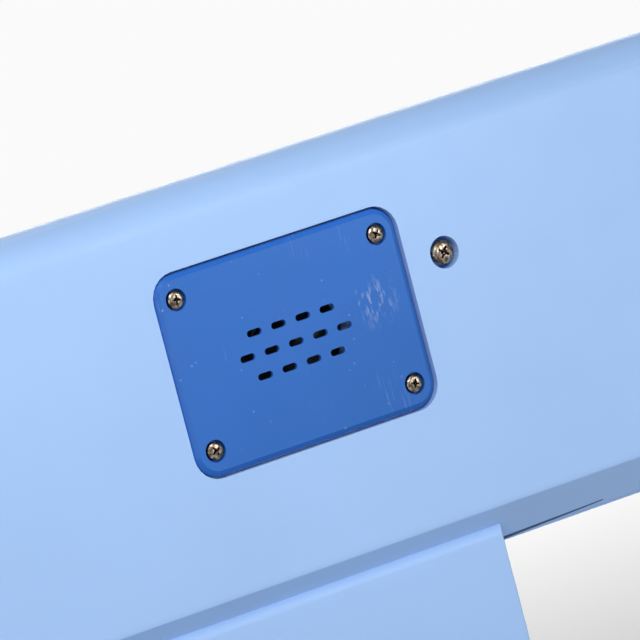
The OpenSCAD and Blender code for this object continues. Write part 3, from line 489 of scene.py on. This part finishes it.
def crossHead(name, radius, height, shank, length, twist, shape):
    side = shape["side"]
    head = [(radius * 0.95, 0.0), (radius, height * 0.1), (radius, height * side)]
    for step in range(1, shape["steps"] + 1):
        angle = math.radians(90) * step / shape["steps"]
        across = max(radius * math.cos(angle) ** shape["round"], radius * 0.02)
        head.append((across, height * (side + (1 - side) * math.sin(angle))))
    stem = [(shank * 0.5, -length), (shank, -length + shank), (shank, 0.0)]
    screw = lathe(name, stem + head, shape["sides"])
    arms = []
    for turn in (0, 90):
        size = (radius * shape["arm"] * 2, radius * shape["width"], height * 1.6)
        arm = primitive("box", "arm", size, (0, 0, height * 0.95))
        bpy.ops.object.mode_set(mode="EDIT")
        bpy.ops.mesh.select_mode(type="VERT")
        bpy.ops.mesh.select_all(action="DESELECT")
        bpy.ops.object.mode_set(mode="OBJECT")
        for vertex in arm.data.vertices:
            vertex.select = vertex.co.z < height * 0.95
        bpy.ops.object.mode_set(mode="EDIT")
        bpy.ops.transform.resize(value=(shape["taper"], shape["taper"], 1), center_override=(0, 0, 0))
        bpy.ops.transform.translate(value=(0, 0, height * (1 - shape["sink"])))
        bpy.ops.object.mode_set(mode="OBJECT")
        bpy.ops.transform.rotate(value=math.radians(turn), orient_axis="Z", center_override=(0, 0, 0))
        settle(arm)
        arms.append(arm)
    worn = [(radius * 0.1, height * 0.3), (radius * 0.34, height * 1.25), (radius * 0.3, height * 1.4)]
    pit = lathe("pit", worn, 20)
    tool = arms[0]
    carve(tool, arms[1], "UNION")
    carve(tool, pit, "UNION")
    carve(screw, tool)
    softEdges(screw, 0.05, 2, 30)
    pick(screw)
    bpy.ops.transform.rotate(value=math.radians(twist), orient_axis="Z", center_override=(0, 0, 0))
    settle(screw)
    return screw


towardRear = Matrix.Rotation(math.radians(-90), 4, "X")


def screwSet(node, name, setting):
    made = []
    height, twists = setting["height"], setting["twists"]
    boxes = sorted(islands(node), key=lambda box: (round(box[0].z, 3), box[0].x))
    for index, (low, high) in enumerate(boxes):
        radius = (high.x - low.x) / 2
        length = (high.y - low.y) - height
        twist = twists[index % len(twists)]
        master = crossHead("screwMaster", radius, height, setting["shank"], length, twist, screwShape)
        place = Vector(((low.x + high.x) / 2, high.y - height, (low.z + high.z) / 2))
        made.append(copyTo(master, "screw", Matrix.Translation(place) @ towardRear))
        bpy.data.objects.remove(master)
    return fit(joined(made, name), node, finishes[slotOf[node]])


coverScrews = {"height": 0.0020, "shank": 0.00112, "twists": (20, 62, 35, 8)}
caseScrews = {"height": 0.0023, "shank": 0.00138, "twists": (10, 30, 50, 75, 34, 60)}
screwSet("cover_screws", "coverScrewHeads", coverScrews)
screwSet("case_screws", "caseScrewHeads", caseScrews)
print("screws ready")

# painted shadow under the head, each side of the neck: thin dark strips stand in for the shade line of the step
# there
seam = {
    "neckHalf": 0.085, "start": 0.0008, "length": 0.039, "drop": 0.0122, "rise": 0.0012, "crease": 0.0806,
    "width": 0.0014, "end": 0.35, "thick": 0.00006, "proud": 0.00003,
}


def partingSeams(setting):
    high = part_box("rear_housing")[1]
    made = []
    for side in (-1, 1):
        line = primitive("box", "seam", (setting["length"], setting["width"], setting["thick"]))
        for vertex in line.data.vertices:
            if vertex.co.x > 0:
                vertex.co.y *= setting["end"]
        outward = Vector((0, 1, -1)).normalized()
        along = Vector((side * setting["length"], setting["rise"], setting["rise"])).normalized()
        across = outward.cross(along)
        crease = high.y - setting["drop"]
        start = Vector((side * (setting["neckHalf"] + setting["start"]), crease, crease + setting["crease"]))
        middle = start + along * setting["length"] / 2 + outward * setting["proud"]
        turn = Matrix((along, across, outward)).transposed().to_4x4()
        line.matrix_world = Matrix.Translation(middle) @ turn
        settle(line)
        made.append(line)
    # painted shadow: a dark navy colour stands in for the shade in the step
    shadow = mouldedPlastic("seamShadow", (0.05, 0.10, 0.20), 0.7)
    return attach(joined(made, "partingSeams"), "rear_housing", shadow)


partingSeams(seam)

# front panel graphics
leanSin, leanCos = math.sin(faceTilt), math.cos(faceTilt)
panelAxes = Matrix(((1, 0, 0), (0, leanSin, -leanCos), (0, leanCos, leanSin))).to_4x4()
ink = {"film": 0.00004, "mark": 0.00005, "wave": 0.00006, "thick": 0.00008, "hair": 0.00001, "lift": 0.00002}

whiteInk = mouldedPlastic("whiteInk", (0.82, 0.84, 0.86), 0.45, 1500, 0.05, 0.03)
darkInk = mouldedPlastic("darkInk", (0.02, 0.022, 0.025), 0.5, 1500, 0.05, 0.1)


def panelBox(node):  # its box along the panel: across, up the slope, outwards
    back = panelAxes.inverted()
    points = [back @ vertex.co for vertex in nodes[node].data.vertices]
    return [Vector([pickEnd(point[i] for point in points) for i in range(3)]) for pickEnd in (min, max)]


def middleOf(node):
    low, high = panelBox(node)
    return Vector(((low.x + high.x) / 2, (low.y + high.y) / 2, high.z))


def onPanel(piece, spot):  # drawn flat about the origin, then set on the panel
    pick(piece)
    piece.matrix_world = panelAxes @ Matrix.Translation(spot)
    settle(piece)
    return piece


def plate(name, width, height, thick, radius, place=(0, 0)):  # a flat plate with round corners
    piece = primitive("box", name, (width, height, thick), (place[0], place[1], thick / 2))
    bevel = piece.modifiers.new("corners", "BEVEL")
    bevel.affect = "EDGES"
    bevel.width = min(radius, width * 0.49, height * 0.49)
    bevel.segments = 5
    bevel.limit_method = "WEIGHT"
    weights = piece.data.attributes.new("bevel_weight_edge", "FLOAT", "EDGE")
    for edge in piece.data.edges:
        first, second = (piece.data.vertices[index].co for index in edge.vertices)
        weights.data[edge.index].value = 1.0 if abs(first.z - second.z) > thick * 0.5 else 0.0
    applyAll(piece)
    return piece


def arcBand(name, radius, width, thick, start, sweep, place=(0, 0)):  # a curved band
    deselectAll()
    bpy.ops.mesh.primitive_plane_add(size=1, location=(0, 0, 0))
    piece = bpy.context.object
    piece.name = name
    piece.scale = (width, thick, 1)
    settle(piece)
    bpy.ops.transform.rotate(value=math.radians(90), orient_axis="X", center_override=(0, 0, 0))
    bpy.ops.transform.translate(value=(radius, 0, thick / 2))
    bpy.ops.transform.rotate(value=math.radians(-start), orient_axis="Z", center_override=(0, 0, 0))
    settle(piece)
    bpy.ops.object.mode_set(mode="EDIT")
    bpy.ops.mesh.select_all(action="SELECT")
    bpy.ops.mesh.spin(steps=16, angle=math.radians(sweep), center=(0, 0, 0), axis=(0, 0, 1), dupli=False)
    bpy.ops.mesh.select_all(action="SELECT")
    bpy.ops.mesh.remove_doubles(threshold=0.0000005)
    bpy.ops.mesh.normals_make_consistent(inside=False)
    bpy.ops.object.mode_set(mode="OBJECT")
    bpy.ops.transform.translate(value=(place[0], place[1], 0))
    settle(piece)
    return piece


def digit(name, character, size, thick):
    deselectAll()
    bpy.ops.object.text_add()
    letter = bpy.context.object
    letter.data.body = character
    letter.data.size = size
    letter.data.align_x = "CENTER"
    letter.data.align_y = "CENTER"
    letter.data.extrude = thick / 2
    bpy.ops.object.convert(target="MESH")
    letter.name = name
    settle(letter)
    return letter


keyLegends = {"digit": 0.0095, "barLong": 0.0075, "barWide": 0.0014, "corner": 0.0003,
              "ring": 0.0028, "band": 0.0013}


def keyLegend(node, setting):
    word = node[4:]
    if word == "cancel":
        sizes = setting["barLong"], setting["barWide"], ink["thick"], setting["corner"]
        bars = [plate("bar", *sizes) for turn in (0, 1)]
        for bar, turn in zip(bars, (45, -45)):
            pick(bar)
            bpy.ops.transform.rotate(value=math.radians(turn), orient_axis="Z", center_override=(0, 0, 0))
            settle(bar)
        return joined(bars, "legendCancel"), whiteInk
    if word == "enter":
        return arcBand("legendEnter", setting["ring"], setting["band"], ink["thick"], 0, 360), whiteInk
    return digit("legend" + word, word, setting["digit"], ink["thick"]), darkInk


for node in nodes:
    if node.startswith("key_"):
        legend, finish = keyLegend(node, keyLegends)
        attach(onPanel(legend, middleOf(node) + Vector((0, 0, ink["lift"]))), node, finish)
print("key legends ready")


def glow(name, colour, strength):
    finish, tree, links, shader = newFinish(name, colour, 0.25)
    shader.inputs["Emission Color"].default_value = (*colour, 1)
    place = coordinates(tree, links)
    cells = noise(tree, links, place, 30, 2)
    light = spread(tree, links, cells, strength * 0.9, strength * 1.05, 0.3, 0.7)
    links.new(light, shader.inputs["Emission Strength"])
    return finish


# each tile: width, height, across, up, colour, strength
screenPlan = {
    "ground": (0.104, 0.066, 0, 0, (0.03, 0.10, 0.26), 0.5),
    "header": (0.104, 0.010, 0, 0.028, (0.06, 0.22, 0.52), 0.6),
    "tileOne": (0.029, 0.024, -0.033, 0.004, (0.75, 0.80, 0.86), 0.55),
    "tileTwo": (0.029, 0.024, 0, 0.004, (0.75, 0.80, 0.86), 0.55),
    "tileThree": (0.029, 0.024, 0.033, 0.004, (0.75, 0.80, 0.86), 0.55),
    "footLeft": (0.030, 0.009, -0.0325, -0.024, (0.45, 0.06, 0.05), 0.5),
    "footRight": (0.062, 0.009, 0.0165, -0.024, (0.04, 0.40, 0.14), 0.5),
}
screenLifts = {"ground": 0.00002, "tile": 0.00006, "icon": 0.00011}
screenSpot = middleOf("display_window")
for name, (width, height, across, rise, colour, strength) in screenPlan.items():
    lift = Vector((0, 0, screenLifts.get(name, screenLifts["tile"])))
    tile = plate(name, width, height, ink["film"], 0.002, (across, rise))
    attach(onPanel(tile, screenSpot + lift), "display_window", glow(name + "Glow", colour, strength))
iconInk = glow("iconInk", (0.03, 0.08, 0.20), 0.2)
icons = [
    plate("cardIcon", 0.016, 0.010, ink["film"], 0.0015, (-0.033, 0.004)),
    plate("phoneIcon", 0.008, 0.014, ink["film"], 0.0015, (0, 0.004)),
    arcBand("coinIcon", 0.0055, 0.0016, ink["film"], 0, 360, (0.033, 0.004)),
    plate("coinBar", 0.0012, 0.006, ink["film"], 0.0003, (0.033, 0.004)),
]
iconSpot = screenSpot + Vector((0, 0, screenLifts["icon"]))
attach(onPanel(joined(icons, "screenIcons"), iconSpot), "display_window", iconInk)

reader = {"waves": 4, "first": 0.005, "step": 0.0042, "width": 0.0012, "start": -38, "sweep": 76,
          "place": (-0.011, 0.002), "proud": 0.003}
readerSpot = middleOf("reader_cover")
readerSpot.z = panelBox("reader_cover")[0].z + reader["proud"] + ink["lift"]
waves = []
for index in range(reader["waves"]):
    radius = reader["first"] + reader["step"] * index
    turned = reader["start"], reader["sweep"], reader["place"]
    waves.append(arcBand("wave", radius, reader["width"], ink["wave"], *turned))
attach(onPanel(joined(waves, "readerWaves"), readerSpot), "reader_cover", whiteInk)

panelFace = panelBox("printer_door")[1].z + ink["hair"]
cut = 0.0002  # depth of the tools that cut lines out of a printed mark

card = {"width": 0.014, "height": 0.0090, "corner": 0.001, "stripe": 0.0018, "stripeUp": 0.0022, "below": 0.0072}
cardMark = plate("cardMark", card["width"], card["height"], ink["mark"], card["corner"])
arrowStem = plate("arrowStem", 0.0012, 0.004, ink["mark"], 0.0002, (0.0115, 0.0015))
carve(cardMark, plate("cardStripe", card["width"], card["stripe"], cut, 0.0001, (0, card["stripeUp"])))
cardSpot = Vector((middleOf("card_bezel").x, panelBox("reader_cover")[0].y - card["below"], panelFace))
attach(onPanel(joined([cardMark, arrowStem], "cardPictogram"), cardSpot), "front_housing", whiteInk)

receipt = {"width": 0.010, "height": 0.013, "corner": 0.0008, "line": 0.0065, "lineHeight": 0.0009,
           "lines": 3, "top": 0.0033, "step": 0.0026, "below": 0.0115}
slip = plate("slip", receipt["width"], receipt["height"], ink["mark"], receipt["corner"])
for index in range(receipt["lines"]):
    up = receipt["top"] - receipt["step"] * index
    carve(slip, plate("line", receipt["line"], receipt["lineHeight"], cut, 0.0001, (0, up)))
slipSpot = Vector((middleOf("receipt_bezel").x, panelBox("receipt_bezel")[0].y - receipt["below"], panelFace))
attach(onPanel(slip, slipSpot), "printer_door", whiteInk)
slip.name = "receiptPictogram"

aim = {"bars": 7, "thin": 0.0008, "wide": 0.0014, "height": 0.0046, "step": 0.0021, "above": 0.0115}
aims = []
for index in range(aim["bars"]):
    width = aim["thin"] if index % 2 else aim["wide"]
    place = (aim["step"] * (index - aim["bars"] // 2), 0)
    aims.append(plate("aim", width, aim["height"], ink["film"], 0.0001, place))
scanSpot = middleOf("scanner_window") + Vector((0, aim["above"], 0))
scanSpot.z = panelFace
attach(onPanel(joined(aims, "scanPictogram"), scanSpot), "front_housing", darkInk)

sunk = 0.00012  # the help mark sits in the cap's shallow dish
marks = [
    primitive("round", "dot", (0.0007, 0, ink["thick"]), (0, 0.0026, ink["thick"] / 2), sides=20),
    plate("stem", 0.0013, 0.0036, ink["thick"], 0.0002, (0, -0.0006)),
]
helpSpot = middleOf("help_button") - Vector((0, 0, sunk))
attach(onPanel(joined(marks, "helpMark"), helpSpot), "help_button", darkInk)

strip = plate("lightStrip", 0.074, 0.003, ink["film"], 0.0014)
lensSpot = middleOf("status_lens") + Vector((0, 0, ink["hair"]))
attach(onPanel(strip, lensSpot), "status_lens", glow("readyGlow", (0.10, 0.85, 0.45), 0.8))
print("front graphics ready")

# camera and light
camera = {
    "turn": 27.71, "rise": 7.35, "roll": 14.65, "distance": 2.399, "focal": 449.8, "sensor": 36,
    "across": 6.99, "up": 6.59, "near": 0.05, "far": 100,
}


def addCamera(setting):
    low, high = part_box("speaker_cover")
    aim = Vector(((low.x + high.x) / 2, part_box("rear_housing")[1].y, (low.z + high.z) / 2))
    turn, rise, roll = (math.radians(setting[key]) for key in ("turn", "rise", "roll"))
    back = Vector((math.sin(turn) * math.cos(rise), math.cos(turn) * math.cos(rise), math.sin(rise)))
    right = Vector((-math.cos(turn), math.sin(turn), 0))
    up = back.cross(right)
    across = right * math.cos(roll) - up * math.sin(roll)
    above = right * math.sin(roll) + up * math.cos(roll)
    aim += across * setting["across"] * mm + above * setting["up"] * mm
    eye = aim + back * setting["distance"]
    bpy.ops.object.camera_add(location=eye)
    made = bpy.context.object
    made.matrix_world = Matrix.Translation(eye) @ Matrix((across, above, back)).transposed().to_4x4()
    made.data.lens = setting["focal"]
    made.data.sensor_width = setting["sensor"]
    made.data.clip_start = setting["near"]
    made.data.clip_end = setting["far"]
    bpy.context.scene.camera = made
    return back  # from the object towards the camera


deselectAll()
viewBack = addCamera(camera)

lamps = {
    "key": {"azimuth": 168, "elevation": 40, "distance": 0.72, "size": 0.4, "power": 2.65},
    "veil": {"azimuth": 209, "elevation": 9, "distance": 1.4, "size": 0.5, "power": 4.6},
    "left": {"azimuth": 134, "elevation": 2, "distance": 1.6, "size": 0.3, "power": 3.0},
    "front": {"azimuth": -25, "elevation": 12, "distance": 2.4, "size": 1.4, "power": 22},
}


def addLamp(name, setting):
    azimuth, elevation = math.radians(setting["azimuth"]), math.radians(setting["elevation"])
    level = math.cos(elevation)
    back = Vector((math.sin(azimuth) * level, -math.cos(azimuth) * level, math.sin(elevation)))
    middle = (cadLow + cadHigh) / 2
    bpy.ops.object.light_add(type="AREA", location=middle + back * setting["distance"])
    lamp = bpy.context.object
    lamp.name = name + "Lamp"
    lamp.data.size = setting["size"]
    lamp.data.energy = setting["power"]
    lamp.rotation_euler = back.to_track_quat("Z", "Y").to_euler()


for name, setting in lamps.items():
    addLamp(name, setting)

room = {
    "floorRadius": 1.3, "floorTone": 0.62, "below": 0.0004, "sky": 0.05, "horizon": 0.2, "rises": (-0.05, 0.3),
    "backdrop": 11, "fade": 1.4, "white": 0.955,
    "farFloor": {"away": 1.0, "height": 1.6, "power": 7, "size": 0.3, "spread": 85},
}


def addFloor(setting):
    bpy.ops.mesh.primitive_circle_add(vertices=96, radius=setting["floorRadius"], fill_type="NGON",
                                      location=(0, 0, cadLow.z - setting["below"]))
    floor = bpy.context.object
    floor.name = "studioFloor"
    finish = newFinish("paleFloor", (setting["floorTone"],) * 3, 0.8)[0]
    floor.data.materials.append(finish)
    far = setting["farFloor"]
    behind = Vector((-viewBack.x, -viewBack.y, 0)) * far["away"]
    bpy.ops.object.light_add(type="AREA", location=behind + Vector((0, 0, far["height"])))
    lamp = bpy.context.object
    lamp.name = "floorLamp"
    lamp.data.size = far["size"]
    lamp.data.spread = math.radians(far["spread"])
    lamp.data.energy = far["power"]


def addWorld(setting):  # dim all round, with a white backdrop behind the object
    world = bpy.data.worlds.new("studio")
    bpy.context.scene.world = world
    world.use_nodes = True
    tree, links = world.node_tree.nodes, world.node_tree.links
    place = tree.new("ShaderNodeTexCoord")
    split = tree.new("ShaderNodeSeparateXYZ")
    links.new(place.outputs["Generated"], split.inputs["Vector"])
    sky = spread(tree, links, split.outputs["Z"], setting["horizon"], setting["sky"], *setting["rises"])
    towards = tree.new("ShaderNodeVectorMath")
    towards.operation = "DOT_PRODUCT"
    towards.inputs[1].default_value = -viewBack
    links.new(place.outputs["Generated"], towards.inputs[0])
    wide = math.radians(setting["backdrop"])
    edges = math.cos(wide * setting["fade"]), math.cos(wide)
    backdrop = spread(tree, links, towards.outputs["Value"], 0, setting["white"], *edges)
    tree["Background"].inputs["Color"].default_value = (1.0, 1.0, 1.0, 1)
    links.new(combine(tree, links, "MAXIMUM", sky, backdrop), tree["Background"].inputs["Strength"])


addFloor(room)
addWorld(room)
bpy.context.scene.view_settings.view_transform = "Standard"
print("camera, lamps and room ready")
